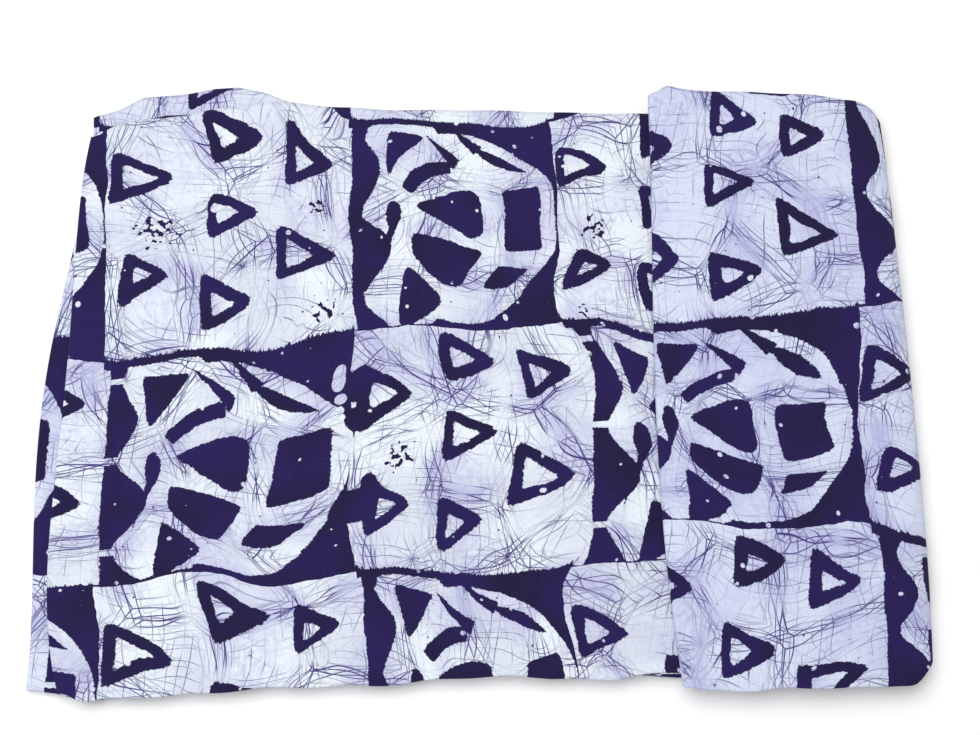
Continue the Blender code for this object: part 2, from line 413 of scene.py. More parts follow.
def pass_stations(index):
    """Places along one pass, between the turns at its ends.

    Each station has its x, height, run, rise, share of the pass, level and the y of the long fold and of both
    selvedges, which run on smooth curves through the pass's rows.
    """
    part = PASSES[index]
    first = fold_centre(PASSES[index - 1], part)[0] if index else line_x(part.start, 0)
    last = fold_centre(part, PASSES[index + 1])[0] if index + 1 < len(PASSES) else line_x(part.end, 0)
    count = int(np.ceil(abs(last - first) / part.step)) + 1
    share = np.linspace(0, 1, count)
    x = first + (last - first) * share
    columns = np.array(part.rows).T
    extents = [smooth_curve(x, columns[0], column) for column in columns[1:]]
    run = np.full(count, np.sign(last - first))
    flat = np.full(count, level_height(part.level))
    return np.stack([x, flat, run, 0 * x, share, np.full(count, part.level), *extents], axis=1)


def turn_stations(index):
    """Places round the fold between two passes: half an ellipse, from one height to the other."""
    before, after = PASSES[index], PASSES[index + 1]
    centre, reach, side = fold_centre(before, after)
    rolled = before.end == "right roll"
    low, high = level_height(before.level), level_height(after.level)
    half_height = (high - low) / 2
    t = np.linspace(0, 1, (STEPS_ROUND_ROLL if rolled else STEPS_ROUND_FOLD) + 1)[1:-1]
    angle = np.pi * t
    x = centre + side * reach * np.sin(angle)
    height = low + half_height * (1 - np.cos(angle))
    run, rise = side * reach * np.cos(angle), half_height * np.sin(angle)
    speed = np.hypot(run, rise)
    extents = [a + (b - a) * t for a, b in zip(before.rows[-1][1:], after.rows[0][1:])]
    if rolled:
        extents = [y + (end - y) * np.sin(angle) ** 3 for y, end in zip(extents, ROLL_ENDS)]
    level = before.level + (after.level - before.level) * t
    return np.stack([x, height, run / speed, rise / speed, 0 * t, level, *extents], axis=1)


def across_sheet(front, back_a, back_b):
    """The sheet's line from one selvedge round the long fold to the other.

    Gives the y, the offset from the doubled sheet's middle and the sheet's own measure of y, which runs on
    past the long fold: ply a is straight, then comes half a circle, then ply b.
    """
    radius = PLY_PITCH / 2
    bend = front + radius + LOWEST_PLY
    part_a = np.linspace(0, 1, STEPS_PLY_A + 1)
    part_b = np.linspace(0, 1, STEPS_PLY_B + 1)
    angle = np.linspace(0, np.pi, STEPS_ROUND_FRONT + 1)[1:-1]
    y_a = back_a + (bend - back_a) * part_a
    y_b = bend + (back_b - bend) * part_b
    y = np.concatenate([y_a, bend - radius * np.sin(angle), y_b], axis=1)
    flat = np.ones(len(front))[:, None]
    offset = np.concatenate([flat + 0 * part_a, flat * np.cos(angle), -flat + 0 * part_b], axis=1) * radius
    measure = np.concatenate([y_a, bend - radius * angle, bend - radius * np.pi - (y_b - bend)], axis=1)
    return y, offset, measure


def swell(x, y):
    """How much the pile is drawn out in height at each place: one plus the sum of the soft swells."""
    total = np.ones_like(x)
    for one in SWELLS:
        total += one.share * np.exp(-(((x - one.x) / one.across) ** 2) - ((y - one.y) / one.along) ** 2)
    return total


def creasing(x, y, level):
    """The height that the soft creases and the slack of the cloth add, which fades out below the top ply.

    Each crease is a bell across its line and a longer bell along it. The slack is three crossing waves.
    """
    total = 0.16 * np.sin(x / 17 + y / 41 + 1) + 0.14 * np.sin(x / 37 - y / 19)
    total += 0.12 * np.sin(y / 13 + x / 53)
    for one in CREASES:
        turn = np.radians(one.turn)
        along = (x - one.x) * np.cos(turn) + (y - one.y) * np.sin(turn)
        across = (y - one.y) * np.cos(turn) - (x - one.x) * np.sin(turn)
        near = np.clip(1 - np.abs(level - one.level), 0, 1)
        total += near * one.height * np.exp(-((along / one.length) ** 2) - (across / one.width) ** 2)
    return total


def edge_waves(x, level):
    """Small waves of the long fold and the selvedges in plan, different on each pass."""
    return 0.7 * np.sin(x / 9 + 2 * level) + 0.5 * np.sin(x / 21 + 5 * level)


def sheet_lines():
    """All stations in groups, a pass or a turn each, with the names of the fold lines on either side."""
    groups = []
    for index, part in enumerate(PASSES):
        groups.append((pass_stations(index), part.start, part.end))
        if index + 1 < len(PASSES):
            groups.append((turn_stations(index), part.end, part.end))
    return groups


def cloth_measure(groups):
    """How far along the cloth each station lies, on the scale of the stamped pattern.

    On the top pass it equals x, and on the flap x less FLAP_SHIFT. Between them it follows the path's length.
    """
    stations = np.concatenate([group[0] for group in groups])
    counts = np.cumsum([len(group[0]) for group in groups])
    path = np.concatenate([[0], np.cumsum(np.hypot(np.diff(stations[:, 0]), np.diff(stations[:, 1])))])
    top_end, flap_start, flap_end = counts[0] - 1, counts[7], counts[8] - 1
    marks = path[[0, top_end, flap_start, flap_end, -1]]
    places = stations[[0, top_end, flap_start, flap_end], 0] - [0, 0, FLAP_SHIFT, FLAP_SHIFT]
    places = np.append(places, places[-1] - (marks[-1] - marks[-2]))
    return np.split(np.interp(path, marks, places), counts[:-1])


def sheet_grid():
    """The middle surface of the sheet as a grid of points, with the cloth's own measure both ways at each.

    At each station the line across is set off from the doubled sheet's middle along its normal, and moved
    in x with the fold lines on either side. The swells and creases are then added to the height.
    """
    points, measures = [], []
    groups = sheet_lines()
    for (stations, start, end), along in zip(groups, cloth_measure(groups)):
        x, height, run, rise, share, level, front, back_a, back_b = stations.T[:, :, None]
        waves = edge_waves(x, level) * np.abs(run)
        y, offset, across = across_sheet(front + waves, back_a + waves / 2, back_b - waves / 2)
        shift_start = line_x(start, y) - line_x(start, 0)
        shift_end = line_x(end, y) - line_x(end, 0)
        shift = shift_start * (1 - share) + shift_end * share
        x = x + shift + offset * rise
        z = height - offset * run
        z = LOWEST_PLY + (z - LOWEST_PLY) * swell(x, y)
        depth = np.clip(z / CREASING_FULL, 0, 1) ** 2
        z = z + creasing(x, y, level) * depth * np.abs(run)
        points.append(np.stack([x, y, z], axis=-1))
        measures.append(np.stack([along[:, None] - run * shift, across], axis=-1))
    return np.concatenate(points), np.concatenate(measures)


def stamped_measure(measures):
    """The cloth's measure turned into the pattern's own, in which every block is REPEAT wide and high.

    An even grid of blocks is bent to pass through the anchors: at each point the anchors' shifts are
    averaged, each weighed by a bell, with a weak pull back to no shift. Two more passes with narrower bells
    add what each anchor still lacks.
    """
    origin = np.array([COLUMN_ZERO_X, ROW_ZERO_Y])
    panel = np.array(PANEL_ANCHORS)
    flap = np.array(FLAP_ANCHORS) - (FLAP_SHIFT, 0, 0, 0)
    anchors = np.concatenate([panel, flap])
    places = anchors[:, :2] - origin
    wanted = anchors[:, 2:] * REPEAT - places
    even = np.concatenate([places, measures.reshape(-1, 2) - origin])
    shift = np.zeros_like(even)
    for reach, grip in zip(ANCHOR_REACHES, ANCHOR_GRIPS):
        lacking = wanted - shift[:len(places)]
        total, weight = np.zeros_like(even), np.full((len(even), 1), grip)
        for place, moved in zip(places, lacking):
            pull = np.exp(-(((even - place) / reach) ** 2).sum(axis=1, keepdims=True))
            total += pull * moved
            weight += pull
        shift += total / weight
    return (even + shift)[len(places):]


def linear(colour):
    """An sRGB hex colour as linear RGB, with full cover."""
    parts = [int(colour[i:i + 2], 16) / 255 for i in (1, 3, 5)]
    return tuple(p / 12.92 if p <= 0.04045 else ((p + 0.055) / 1.055) ** 2.4 for p in parts) + (1.0,)


def new_material(name):
    """A material with an empty node tree, its shader and its output."""
    material = bpy.data.materials.new(name)
    material.use_nodes = True
    tree = material.node_tree
    tree.nodes.clear()
    shader = tree.nodes.new("ShaderNodeBsdfPrincipled")
    output = tree.nodes.new("ShaderNodeOutputMaterial")
    tree.links.new(shader.outputs[0], output.inputs[0])
    return material, tree, shader


def add_node(tree, kind, *values, out=0, **settings):
    """Add a node. Each value goes to the input in its place: a socket is linked, and None leaves it alone."""
    made = tree.nodes.new(kind)
    for name, setting in settings.items():
        setattr(made, name, setting)
    for socket, value in zip(made.inputs, values):
        if isinstance(value, bpy.types.NodeSocket):
            tree.links.new(value, socket)
        elif value is not None:
            socket.default_value = value
    return made.outputs[out]


MATH = "ShaderNodeMath"
VECTOR = "ShaderNodeVectorMath"
RANGE = "ShaderNodeMapRange"
MIX = "ShaderNodeMix"
NOISE = "ShaderNodeTexNoise"
CELLS = "ShaderNodeTexVoronoi"
PARTS = "ShaderNodeSeparateXYZ"

# Settings that recur: a soft step, noise in the plane, and the borders of cells on a line
SMOOTH = {"interpolation_type": "SMOOTHSTEP"}
PLANE = {"noise_dimensions": "2D"}
LINE_BORDERS = {"out": "Distance", "feature": "DISTANCE_TO_EDGE", "voronoi_dimensions": "1D"}


def convex_shape(tree, place, corners, *roundness):
    """The distance from a convex shape, below zero inside, once for each roundness of its corners.

    Each side is one dot product of (x, y, 1) with its outward normal and its distance from the middle, and
    the farthest side counts, with a smooth maximum.
    """
    points = np.array(corners, float)
    middle = points.mean(axis=0)
    sides = []
    for start, end in zip(points, np.roll(points, -1, axis=0)):
        normal = np.array([end[1] - start[1], start[0] - end[0]]) / np.hypot(*(end - start))
        normal *= np.sign(normal @ (start - middle))
        side = (*normal, -normal @ start)
        sides.append(add_node(tree, VECTOR, place, side, out="Value", operation="DOT_PRODUCT"))
    shapes = []
    for roundness_here in roundness:
        farthest = sides[0]
        for side in sides[1:]:
            farthest = add_node(tree, MATH, farthest, side, roundness_here, operation="SMOOTH_MAX")
        shapes.append(farthest)
    return shapes if len(shapes) > 1 else shapes[0]


def disc_shape(tree, place, centre, radius, third=1):
    """The distance from a disc, below zero inside. A place's third part is 1 inside a block, and else 0."""
    span = add_node(tree, VECTOR, place, (*centre, third), out="Value", operation="DISTANCE")
    return add_node(tree, MATH, span, radius, operation="SUBTRACT")


def triangle_block(tree, place, band):
    """The dye's distance in a block of hollow triangles: each has a rounded outline and a sharper hollow."""
    dye = None
    for one in TRIANGLES:
        outline, hollow = convex_shape(tree, place, one, *TRIANGLE_ROUNDNESS)
        hollow = add_node(tree, MATH, hollow, band, operation="ADD")
        hollow = product(tree, hollow, -1)
        shape = add_node(tree, MATH, outline, hollow, operation="MAXIMUM")
        dye = shape if dye is None else add_node(tree, MATH, dye, shape, operation="MINIMUM")
    return dye


def ring_block(tree, place):
    """The dye's distance in a ring block: all but a disc and a field, with plain shapes in them."""
    disc = disc_shape(tree, place, RING_CENTRE, RING_RADIUS)
    field = convex_shape(tree, place, FIELD, FIELD_ROUNDNESS)
    pale = add_node(tree, MATH, disc, field, RING_JOIN, operation="SMOOTH_MIN")
    dye = product(tree, pale, -1)
    for roundness, *corners in DARK_SHAPES.values():
        shape = convex_shape(tree, place, corners, roundness)
        dye = add_node(tree, MATH, dye, shape, SHAPE_JOIN, operation="SMOOTH_MIN")
    lens = add_node(tree, MATH, *(disc_shape(tree, place, *side) for side in LENS), operation="MAXIMUM")
    dye = add_node(tree, MATH, dye, lens, SHAPE_JOIN, operation="SMOOTH_MIN")
    arc = add_node(tree, MATH, disc_shape(tree, place, ARC_CENTRE, ARC_RADIUS), operation="ABSOLUTE")
    arc = add_node(tree, MATH, arc, ARC_BAND / 2, operation="SUBTRACT")
    for degrees, side in zip(ARC_ENDS, (1, -1)):
        angle = np.radians(degrees)
        normal = side * np.array([np.sin(angle), -np.cos(angle)])
        end = (*normal, -normal @ np.array(ARC_CENTRE))
        end = add_node(tree, VECTOR, place, end, out="Value", operation="DOT_PRODUCT")
        arc = add_node(tree, MATH, arc, end, ARC_ROUNDNESS, operation="SMOOTH_MAX")
    return add_node(tree, MATH, dye, arc, SHAPE_JOIN, operation="SMOOTH_MIN")


def column_bulges(tree, x, y, chance):
    """The dye's distance in the column at the left of a ring block.

    Its left edge is straight, and its right edge swings out from the waists as one less a cosine, whose waves
    lengthen towards the front. Bars of wax cut some of the waists.
    """
    down = add_node(tree, MATH, COLUMN_TOP, y, operation="SUBTRACT")
    waves = add_node(tree, MATH, down, 2 * np.pi * COLUMN_SLOWING, 2 * np.pi * COLUMN_WAVES,
                     operation="MULTIPLY_ADD")
    wave = add_node(tree, MATH, product(tree, down, waves), operation="COSINE")
    out = add_node(tree, MATH, 1, wave, operation="SUBTRACT")
    swing = add_node(tree, RANGE, y, *COLUMN_SWING)
    edge = add_node(tree, MATH, out, swing, COLUMN_WAIST_X, operation="MULTIPLY_ADD")
    right = add_node(tree, MATH, x, edge, operation="SUBTRACT")
    right = product(tree, right, COLUMN_SLOPE)
    left = add_node(tree, MATH, COLUMN_LEFT, x, operation="SUBTRACT")
    column = add_node(tree, MATH, right, left, COLUMN_ROUNDNESS, operation="SMOOTH_MAX")
    limit = add_node(tree, MATH, chance, BAR_CHANCE, BAR_FROM, operation="MULTIPLY_ADD")
    bar = add_node(tree, MATH, wave, limit, operation="SUBTRACT")
    bar = product(tree, bar, BAR_STEEPNESS)
    return add_node(tree, MATH, column, bar, operation="MAXIMUM")


def nearest_spot(tree, place, spots):
    """The distance from the nearest of several round spots, below zero inside them."""
    nearest = None
    for column, row, radius in spots:
        away = disc_shape(tree, place, (column * REPEAT[0], row * REPEAT[1]), radius, 0)
        if nearest is not None:
            away = add_node(tree, MATH, nearest, away, SPOT_JOIN, operation="SMOOTH_MIN")
        nearest = away
    return nearest


def cell_edges(tree, place, size):
    """The distance in millimetres from the straight borders of cells of this size."""
    edge = add_node(tree, CELLS, place, None, 1 / size, out="Distance",
                    feature="DISTANCE_TO_EDGE", voronoi_dimensions="2D")
    return product(tree, edge, size)


def strongest(tree, first, *others):
    """The largest of several values."""
    for other in others:
        first = add_node(tree, MATH, first, other, operation="MAXIMUM")
    return first


def product(tree, first, *others):
    """The product of several values."""
    for other in others:
        first = add_node(tree, MATH, first, other, operation="MULTIPLY")
    return first


def bunched_cracks(tree, flat, drift):
    """Long fine cracks in bunches, and how near a place lies to the middle of a bunch, both 0 to 1.

    A bunch follows the border between two wide cells. Each net of cracks sees the cells moved by the drift
    its own way, so its lines run along the bunch and cross the other nets' lines. A net has a line on the
    border and fainter ones beside it.
    """
    crossed = add_node(tree, VECTOR, drift, (0, 0, 1), operation="CROSS_PRODUCT")
    nets = []
    for turned, pair in zip((drift, crossed), BUNCH_NETS):
        for reach, beside in pair:
            moved = add_node(tree, VECTOR, turned, (reach, reach, 0), flat, operation="MULTIPLY_ADD")
            away = cell_edges(tree, moved, BUNCH_SIZE)
            line = add_node(tree, MATH, away, beside, operation="PINGPONG")
            line = add_node(tree, RANGE, line, *LINE_EDGES, 1, 0, **SMOOTH)
            within = add_node(tree, RANGE, away, 0, BUNCH_REACH, 1, 0, **SMOOTH)
            nets.append(product(tree, line, within))
    moved = add_node(tree, VECTOR, drift, (8, 8, 0), flat, operation="MULTIPLY_ADD")
    near = add_node(tree, RANGE, cell_edges(tree, moved, BUNCH_SIZE), 1, BUNCH_REACH, 1, 0, **SMOOTH)
    return strongest(tree, *nets), near


def straight_cracks(tree, flat, drift, way, spacing, reach):
    """A family of long cracks at uneven distances, all running square to the given way."""
    length = np.hypot(*way)
    along = (way[0] / length, way[1] / length, 0)
    along = add_node(tree, VECTOR, flat, along, out="Value", operation="DOT_PRODUCT")
    bend = add_node(tree, VECTOR, drift, (reach, reach, 0), out="Value", operation="DOT_PRODUCT")
    along = add_node(tree, MATH, along, bend, operation="ADD")
    edge = add_node(tree, CELLS, None, along, 1 / spacing, **LINE_BORDERS)
    return add_node(tree, RANGE, edge, *(limit / spacing for limit in STRAIGHT_EDGES), 1, 0, **SMOOTH)


def streaks(tree, flat, stretch, limits):
    """Patches between 0 and 1 that are drawn out one way, in which straight cracks come and go."""
    drawn_out = add_node(tree, VECTOR, flat, stretch, operation="MULTIPLY")
    patches = add_node(tree, NOISE, drawn_out, None, 1 / STREAK_SIZE, 0.0, **PLANE)
    return add_node(tree, RANGE, patches, *limits, 0, 1, **SMOOTH)


def star_cracks(tree, place):
    """Cracks that run out from points where the wax was pinched: the rays, and a halo round them."""
    centre = add_node(tree, CELLS, place, None, 1 / STAR_SIZE, out="Position", voronoi_dimensions="2D")
    arm = add_node(tree, VECTOR, place, centre, operation="SUBTRACT")
    arm_x, arm_y, _ = add_node(tree, PARTS, arm).node.outputs
    angle = add_node(tree, MATH, arm_y, arm_x, operation="ARCTAN2")
    reach = add_node(tree, VECTOR, arm, out="Value", operation="LENGTH")
    rays = add_node(tree, CELLS, None, angle, STAR_RAYS, **LINE_BORDERS)
    aside = product(tree, rays, reach, 1 / STAR_RAYS)
    line = add_node(tree, RANGE, aside, *STAR_EDGES, 1, 0, **SMOOTH)
    within = add_node(tree, RANGE, reach, 0, STAR_REACH, 1, 0, **SMOOTH)
    halo = add_node(tree, RANGE, reach, 0, STAR_HALO, 1, 0, **SMOOTH)
    return product(tree, line, within), halo


def soft_drift(tree, flat, size):
    """A push whose parts lie between -0.5 and 0.5 and change over this distance."""
    push = add_node(tree, NOISE, flat, None, 1 / size, 1.0, out=1, **PLANE)
    return add_node(tree, VECTOR, push, (0.5, 0.5, 0.5), operation="SUBTRACT")


def stamped_dye(tree, flat, bristling):
    """The distance in millimetres from the dye's edge, below zero inside the dye.

    Where the column and the row of a block add up to an odd number, it is a block of triangles, and else a
    ring block. The bristling is a noise along the threads.
    """
    # Uneven outlines, from two sizes of noise
    place = flat
    for size, reach in UNEVENNESS:
        drift = soft_drift(tree, flat, size)
        place = add_node(tree, VECTOR, drift, (2 * reach, 2 * reach, 0), place, operation="MULTIPLY_ADD")

    # Which block a place lies in, and where from the block's middle
    pitch = (*REPEAT, 1)
    cell = add_node(tree, VECTOR, place, pitch, operation="DIVIDE")
    cell = add_node(tree, VECTOR, cell, operation="FLOOR")
    middle = add_node(tree, VECTOR, cell, (0.5, 0.5, -1), operation="ADD")
    middle = add_node(tree, VECTOR, middle, pitch, operation="MULTIPLY")
    local = add_node(tree, VECTOR, place, middle, operation="SUBTRACT")
    chance = add_node(tree, "ShaderNodeTexWhiteNoise", cell, out=1, noise_dimensions="2D")
    nudge = add_node(tree, VECTOR, chance, (0.5, 0.5, 0), operation="SUBTRACT")
    stamp = add_node(tree, VECTOR, nudge, (STAMP_NUDGE, STAMP_NUDGE, 0), local, operation="MULTIPLY_ADD")
    stamp_x, stamp_y, _ = add_node(tree, PARTS, stamp).node.outputs
    column, row, _ = add_node(tree, PARTS, cell).node.outputs
    parity = add_node(tree, MATH, column, row, operation="ADD")
    parity = add_node(tree, MATH, parity, 2, operation="FLOORED_MODULO")

    # The block of triangles, whose bands thin out and break in places
    patchy = add_node(tree, NOISE, flat, None, 1 / BAND_NOISE, 1.0, **PLANE)
    band = add_node(tree, RANGE, patchy, *BAND_GROWTH)
    swelling = add_node(tree, RANGE, patchy, *BAND_SWELLING)
    band = add_node(tree, MATH, band, swelling, operation="ADD")
    half_x, low, high = BLOCK_EDGES
    corners = ((-half_x, low), (half_x, low), (half_x, high), (-half_x, high))
    block = convex_shape(tree, local, corners, BLOCK_ROUNDNESS)
    bristle = add_node(tree, RANGE, bristling, 0.40, 0.80, 0, BRISTLE)
    block = add_node(tree, MATH, block, bristle, operation="ADD")
    block = product(tree, block, -1)
    triangles = triangle_block(tree, stamp, band)
    triangles = add_node(tree, MATH, triangles, block, operation="MINIMUM")

    # The ring block, then the block that the place lies in
    ring = ring_block(tree, stamp)
    third_chance = add_node(tree, PARTS, chance, out=2)
    bulges = column_bulges(tree, stamp_x, stamp_y, third_chance)
    ring = add_node(tree, MATH, ring, bulges, SHAPE_JOIN, operation="SMOOTH_MIN")
    dye = add_node(tree, MIX, parity, None, ring, triangles, data_type="FLOAT")
    dye = add_node(tree, MATH, dye, nearest_spot(tree, place, MISSED), MISSED_JOIN, operation="SMOOTH_MIN")

    # Fine raggedness, and drops of wax that kept small round places pale within the dye
    size, reach = RAGGED
    ragged = add_node(tree, NOISE, flat, None, 1 / size, 1.0, **PLANE)
    rough = add_node(tree, MATH, ragged, 2 * reach, -reach, operation="MULTIPLY_ADD")
    dye = add_node(tree, MATH, dye, rough, operation="ADD")
    drops = add_node(tree, CELLS, place, None, 1 / DROP_SPACING, voronoi_dimensions="2D").node.outputs
    drop_size = add_node(tree, "ShaderNodeSeparateColor", drops["Color"])
    drop_size = add_node(tree, RANGE, drop_size, DROP_RARITY, 1, 0, DROP_RADIUS)
    drop = product(tree, drops["Distance"], DROP_SPACING)
    drop = add_node(tree, MATH, drop_size, drop, operation="SUBTRACT")
    placed = product(tree, nearest_spot(tree, place, DROPS), -1)
    dye = strongest(tree, dye, drop, placed)

    # Crumbs of dye where the wax flaked: noise that a cluster's middle raises above a limit
    cluster = None
    for column, row, radius in CRUMBS:
        here = (column * REPEAT[0], row * REPEAT[1], 0)
        one = add_node(tree, VECTOR, flat, here, out="Value", operation="DISTANCE")
        one = add_node(tree, RANGE, one, 0.3 * radius, 1.3 * radius, 1, 0, **SMOOTH)
        cluster = one if cluster is None else strongest(tree, cluster, one)
    crumb = add_node(tree, NOISE, flat, None, 1 / CRUMB_SIZE, 1.0, **PLANE)
    crumb = add_node(tree, MATH, cluster, 0.30, crumb, operation="MULTIPLY_ADD")
    crumb = add_node(tree, MATH, crumb, -16, 0.83 * 16, operation="MULTIPLY_ADD")
    return add_node(tree, MATH, dye, crumb, operation="MINIMUM")


def cracked_wax(tree, flat, dye):
    """How much dye ran into the cracks, and how much seeped under the wax beside them, both 0 to 1.

    The cracks are bunches, two families of straight ones, stars, and a net of hair cracks in the busy places.
    """
    drift = soft_drift(tree, flat, 70)
    bunches, near_bunch = bunched_cracks(tree, flat, drift)
    bent = add_node(tree, VECTOR, drift, (50, 50, 0), flat, operation="MULTIPLY_ADD")
    stars, halo = star_cracks(tree, bent)
    near_dye = add_node(tree, RANGE, dye, 0, HAZE_REACH, 1, 0, **SMOOTH)
    busy = strongest(tree, near_bunch, halo, product(tree, near_dye, 0.75))
    calm = add_node(tree, MATH, busy, 0.55, 0.45, operation="MULTIPLY_ADD")
    level = straight_cracks(tree, flat, drift, *LEVEL_CRACKS)
    level = product(tree, level, streaks(tree, flat, (1 / STREAK_STRETCH, 1, 1), (0.42, 0.58)), calm)
    upright = straight_cracks(tree, flat, drift, *UPRIGHT_CRACKS)
    upright = product(tree, upright, streaks(tree, flat, (1, 1 / STREAK_STRETCH, 1), (0.46, 0.62)), calm)
    twist = add_node(tree, VECTOR, drift, (60, 60, 0), flat, operation="MULTIPLY_ADD")
    hairs = add_node(tree, RANGE, cell_edges(tree, twist, HAIR_SIZE), *HAIR_EDGES, 1, 0, **SMOOTH)
    hairs = product(tree, hairs, busy, 0.6)
    strength = add_node(tree, NOISE, flat, None, 1 / 30, 1.0, **PLANE)
    strength = add_node(tree, RANGE, strength, 0.32, 0.58, 0.25, 1, **SMOOTH)
    veins = product(tree, strongest(tree, bunches, level, upright, hairs, stars), strength)
    patch = add_node(tree, NOISE, flat, None, 1 / 58, 1.0, **PLANE)
    patch = add_node(tree, RANGE, patch, 0.40, 0.62, 0, 1, **SMOOTH)
    return veins, product(tree, busy, patch)


def dyed_cotton(look):
    """Plain-weave cotton, waxed with stamps, cracked by hand and vat dyed.

    It gives the eye a matt pale ground with a faint thread grid, dense dark dye with slightly ragged edges,
    and fine veins where dye ran into the cracked wax.
    """
    material, tree, shader = new_material("wax_resist_dyed_cotton")

    # The pattern's own millimetres, and uneven threads both ways
    uv = add_node(tree, "ShaderNodeUVMap", uv_map=UV_NAME)
    flat = add_node(tree, VECTOR, uv, (1 / MM, 1 / MM, 0), operation="MULTIPLY")
    slubs = []
    for stretch in ((THREAD_LENGTH, THREAD_SPACING), (THREAD_SPACING, THREAD_LENGTH)):
        threads = add_node(tree, VECTOR, flat, (1 / stretch[0], 1 / stretch[1], 1), operation="MULTIPLY")
        slubs.append(add_node(tree, NOISE, threads, None, 1.0, 1.0, **PLANE))
    weave = add_node(tree, MATH, *slubs, operation="ADD")

    dye = stamped_dye(tree, flat, slubs[1])
    dyed = add_node(tree, RANGE, dye, -0.3, 0.3, 1, 0, **SMOOTH)
    veins, haze = cracked_wax(tree, flat, dye)

    # The ground varies in patches, and is painted darker and bluer towards the cloth's end in the flap, as
    # painted shade.
    # Haze, veins and dense dye then lie over it.
    shade = add_node(tree, NOISE, flat, None, 1 / 70, 2.0, **PLANE)
    shade = add_node(tree, RANGE, shade, 0.35, 0.65, 0, 1, **SMOOTH)
    along = add_node(tree, PARTS, flat)
    # Painted shade: how much of the darker, bluer flap ground is mixed in, rising along the cloth towards the
    # flap
    flap_shade_share = add_node(tree, RANGE, along, -1900, -300, 1, 0)
    tint = product(tree, haze, HAZE_SHARE)
    deep = add_node(tree, MIX, shade, *[None] * 5, linear(look.dye), linear(look.dye_shade), out=2,
                    data_type="RGBA")
    colour = linear(look.ground_shade)
    for share, cover in ((shade, linear(look.ground)), (flap_shade_share, linear(look.flap_shaded_ground)),
                         (tint, linear(look.haze)), (veins, linear(look.vein)), (dyed, deep)):
        colour = add_node(tree, MIX, share, *[None] * 5, colour, cover, out=2, data_type="RGBA")
    bright = add_node(tree, RANGE, weave, 0.7, 1.3, 0.95, 1.04)
    colour = add_node(tree, VECTOR, colour, None, None, bright, operation="SCALE")
    tree.links.new(colour, shader.inputs["Base Color"])
    shader.inputs["Roughness"].default_value = 0.9
    shader.inputs["Specular IOR Level"].default_value = 0.14
    shader.inputs["Sheen Weight"].default_value = 0.03
    shader.inputs["Sheen Roughness"].default_value = 0.5
    bump = add_node(tree, "ShaderNodeBump", 0.35, 0.0002, 0.1, weave)
    tree.links.new(bump, shader.inputs["Normal"])
    return material


class BatikLook(bpy.types.PropertyGroup):
    """Sizes and colours of the cloth."""

    thickness: bpy.props.FloatProperty(
        name="Thickness", description="Thickness of the cotton", default=0.7 * MM, subtype="DISTANCE")
    ground: bpy.props.StringProperty(
        name="Ground", description="Waxed, undyed cotton, as sRGB hex", default="#DAE1E8")
    ground_shade: bpy.props.StringProperty(
        name="Ground shade", description="The greyer parts of the ground, as sRGB hex", default="#CBD1DD")
    # Painted shade: the darker, bluer ground mixed in towards the end of the cloth that lies in the flap
    flap_shaded_ground: bpy.props.StringProperty(
        name="Ground end", description="The ground at the end of the cloth in the flap, as sRGB hex",
        default="#C8CEE2")
    dye: bpy.props.StringProperty(
        name="Dye", description="Dense dye, as sRGB hex", default="#241A4E")
    dye_shade: bpy.props.StringProperty(
        name="Dye shade", description="The darker parts of the dye, as sRGB hex", default="#1E183C")
    vein: bpy.props.StringProperty(
        name="Vein", description="Dye in the cracks, as sRGB hex", default="#33286F")
    haze: bpy.props.StringProperty(
        name="Haze", description="Dye that seeped under the cracked wax, as sRGB hex", default="#8781C4")


class BatikStage(bpy.types.PropertyGroup):
    """The floor, the lights and the camera."""

    floor: bpy.props.StringProperty(
        name="Floor", description="Colour of the floor, as sRGB hex", default="#F4F4F4")
    light: bpy.props.FloatProperty(
        name="Light", description="Power of the large soft light", default=32.0, subtype="POWER")
    distance: bpy.props.FloatProperty(
        name="Distance", description="From the camera to the bundle", default=1.092, subtype="DISTANCE")
    tilt: bpy.props.FloatProperty(
        name="Tilt", description="Camera's tilt from straight down", default=np.radians(20), subtype="ANGLE")
    lens: bpy.props.FloatProperty(
        name="Lens", description="Focal length on a 36 mm wide sensor, in millimetres", default=54.7)


class BATIK_OT_fold_cloth(bpy.types.Operator):
    """Make the folded sheet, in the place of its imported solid."""

    bl_idname = "batik.fold_cloth"
    bl_label = "Fold the cloth"

    def execute(self, context):
        look = context.scene.batik_look
        points, measures = sheet_grid()
        rows, columns = points.shape[:2]
        flat = points.reshape(-1, 3)
        low, high = flat.min(axis=0), flat.max(axis=0)
        middle = (np.array(CAD_LOW) + np.array(CAD_HIGH)) / 2
        flat = flat * MM
        flat[:, :2] += middle[:2] - (low[:2] + high[:2]) / 2 * MM
        flat[:, 2] += look.thickness / 2 - low[2] * MM
        index = np.arange(rows * columns).reshape(rows, columns)
        faces = np.stack([index[:-1, :-1], index[1:, :-1], index[1:, 1:], index[:-1, 1:]], axis=-1)
        faces = faces.reshape(-1, 4)
        mesh = bpy.data.meshes.new("dyed_cloth")
        mesh.from_pydata(flat.tolist(), [], faces.tolist())
        if not len(mesh.polygons):
            raise RuntimeError("the sheet has no faces")
        uv = mesh.uv_layers.new(name=UV_NAME)
        pattern = stamped_measure(measures) * MM
        uv.data.foreach_set("uv", pattern[faces.ravel()].ravel())
        mesh.materials.append(dyed_cotton(look))
        mesh.shade_smooth()
        cloth = bpy.data.objects.new("dyed_cloth", mesh)
        context.scene.collection.objects.link(cloth)
        solidify = cloth.modifiers.new("thickness", "SOLIDIFY")
        solidify.thickness = look.thickness
        solidify.offset = 0
        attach(cloth, "root")
        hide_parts(CLOTH_NODE)
        return {"FINISHED"}


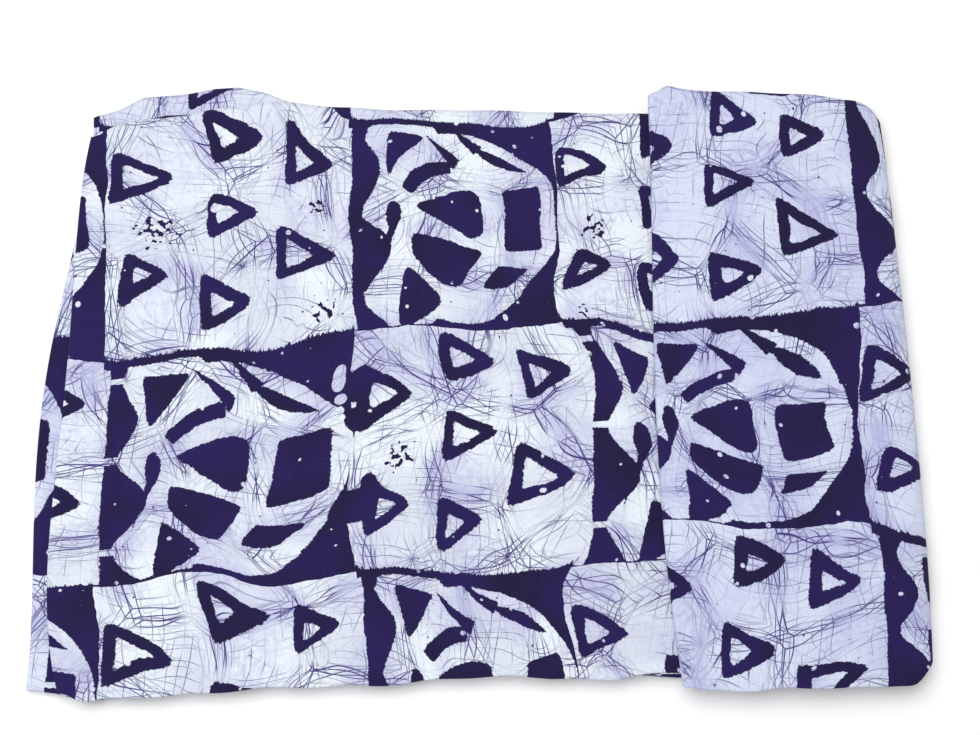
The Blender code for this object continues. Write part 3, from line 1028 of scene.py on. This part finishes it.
class BATIK_OT_set_stage(bpy.types.Operator):
    """Lay the pale floor, and set the lights and the camera."""

    bl_idname = "batik.set_stage"
    bl_label = "Set the stage"

    def execute(self, context):
        stage = context.scene.batik_stage
        half = FLOOR_HALF
        mesh = bpy.data.meshes.new("floor")
        corners = [(-half, -half, 0), (half, -half, 0), (half, half, 0), (-half, half, 0)]
        mesh.from_pydata(corners, [], [(0, 1, 2, 3)])
        material, tree, shader = new_material("matt_white_board")
        grain = add_node(tree, "ShaderNodeTexCoord", out=3)
        grain = add_node(tree, NOISE, grain, None, 3.0, 3.0)
        white = linear(stage.floor)
        tone = add_node(tree, MIX, grain, *[None] * 5, tuple(0.985 * v for v in white), white, out=2,
                        data_type="RGBA")
        tree.links.new(tone, shader.inputs["Base Color"])
        shader.inputs["Roughness"].default_value = 0.95
        mesh.materials.append(material)
        floor = bpy.data.objects.new("floor", mesh)
        context.scene.collection.objects.link(floor)

        light = bpy.data.lights.new("soft_box", "AREA")
        light.shape = "RECTANGLE"
        light.size, light.size_y = SOFT_BOX_SIZE
        light.energy = stage.light
        lamp = bpy.data.objects.new("soft_box", light)
        lamp.location = SOFT_BOX_PLACE
        lamp.rotation_euler = (Vector((0, 0, 0)) - lamp.location).to_track_quat("-Z", "Y").to_euler()
        context.scene.collection.objects.link(lamp)
        world = bpy.data.worlds.new("bright_room")
        world.use_nodes = True
        world.node_tree.nodes["Background"].inputs[0].default_value = (1, 1, 1, 1)
        world.node_tree.nodes["Background"].inputs[1].default_value = ROOM_LIGHT
        context.scene.world = world
        context.scene.view_settings.view_transform = "Standard"

        camera = bpy.data.objects.new("camera", bpy.data.cameras.new("camera"))
        camera.data.sensor_width = 36
        camera.data.lens = stage.lens
        aim = Vector(CAMERA_AIM)
        away = Vector((0, -np.sin(stage.tilt), np.cos(stage.tilt)))
        camera.location = aim + away * stage.distance
        camera.rotation_euler = (stage.tilt, 0, 0)
        context.scene.collection.objects.link(camera)
        context.scene.camera = camera
        return {"FINISHED"}


class BATIK_PT_panel(bpy.types.Panel):
    """The cloth and its stage in the sidebar."""

    bl_label = "Batik"
    bl_idname = "BATIK_PT_panel"
    bl_space_type = "VIEW_3D"
    bl_region_type = "UI"
    bl_category = "Batik"

    def draw(self, context):
        for group, operator in (("batik_look", "batik.fold_cloth"), ("batik_stage", "batik.set_stage")):
            values = getattr(context.scene, group)
            box = self.layout.box()
            for name in values.bl_rna.properties.keys():
                if name not in ("name", "rna_type"):
                    box.prop(values, name)
            box.operator(operator)


CLASSES = (BatikLook, BatikStage, BATIK_OT_fold_cloth, BATIK_OT_set_stage, BATIK_PT_panel)


def register():
    """Add the classes and the two groups of values."""
    for one in CLASSES:
        bpy.utils.register_class(one)
    bpy.types.Scene.batik_look = bpy.props.PointerProperty(type=BatikLook)
    bpy.types.Scene.batik_stage = bpy.props.PointerProperty(type=BatikStage)


def unregister():
    """Take away the two groups of values and the classes."""
    del bpy.types.Scene.batik_stage
    del bpy.types.Scene.batik_look
    for one in reversed(CLASSES):
        bpy.utils.unregister_class(one)


def main():
    register()
    bpy.ops.batik.fold_cloth()
    bpy.ops.batik.set_stage()


if __name__ == "__main__":
    main()
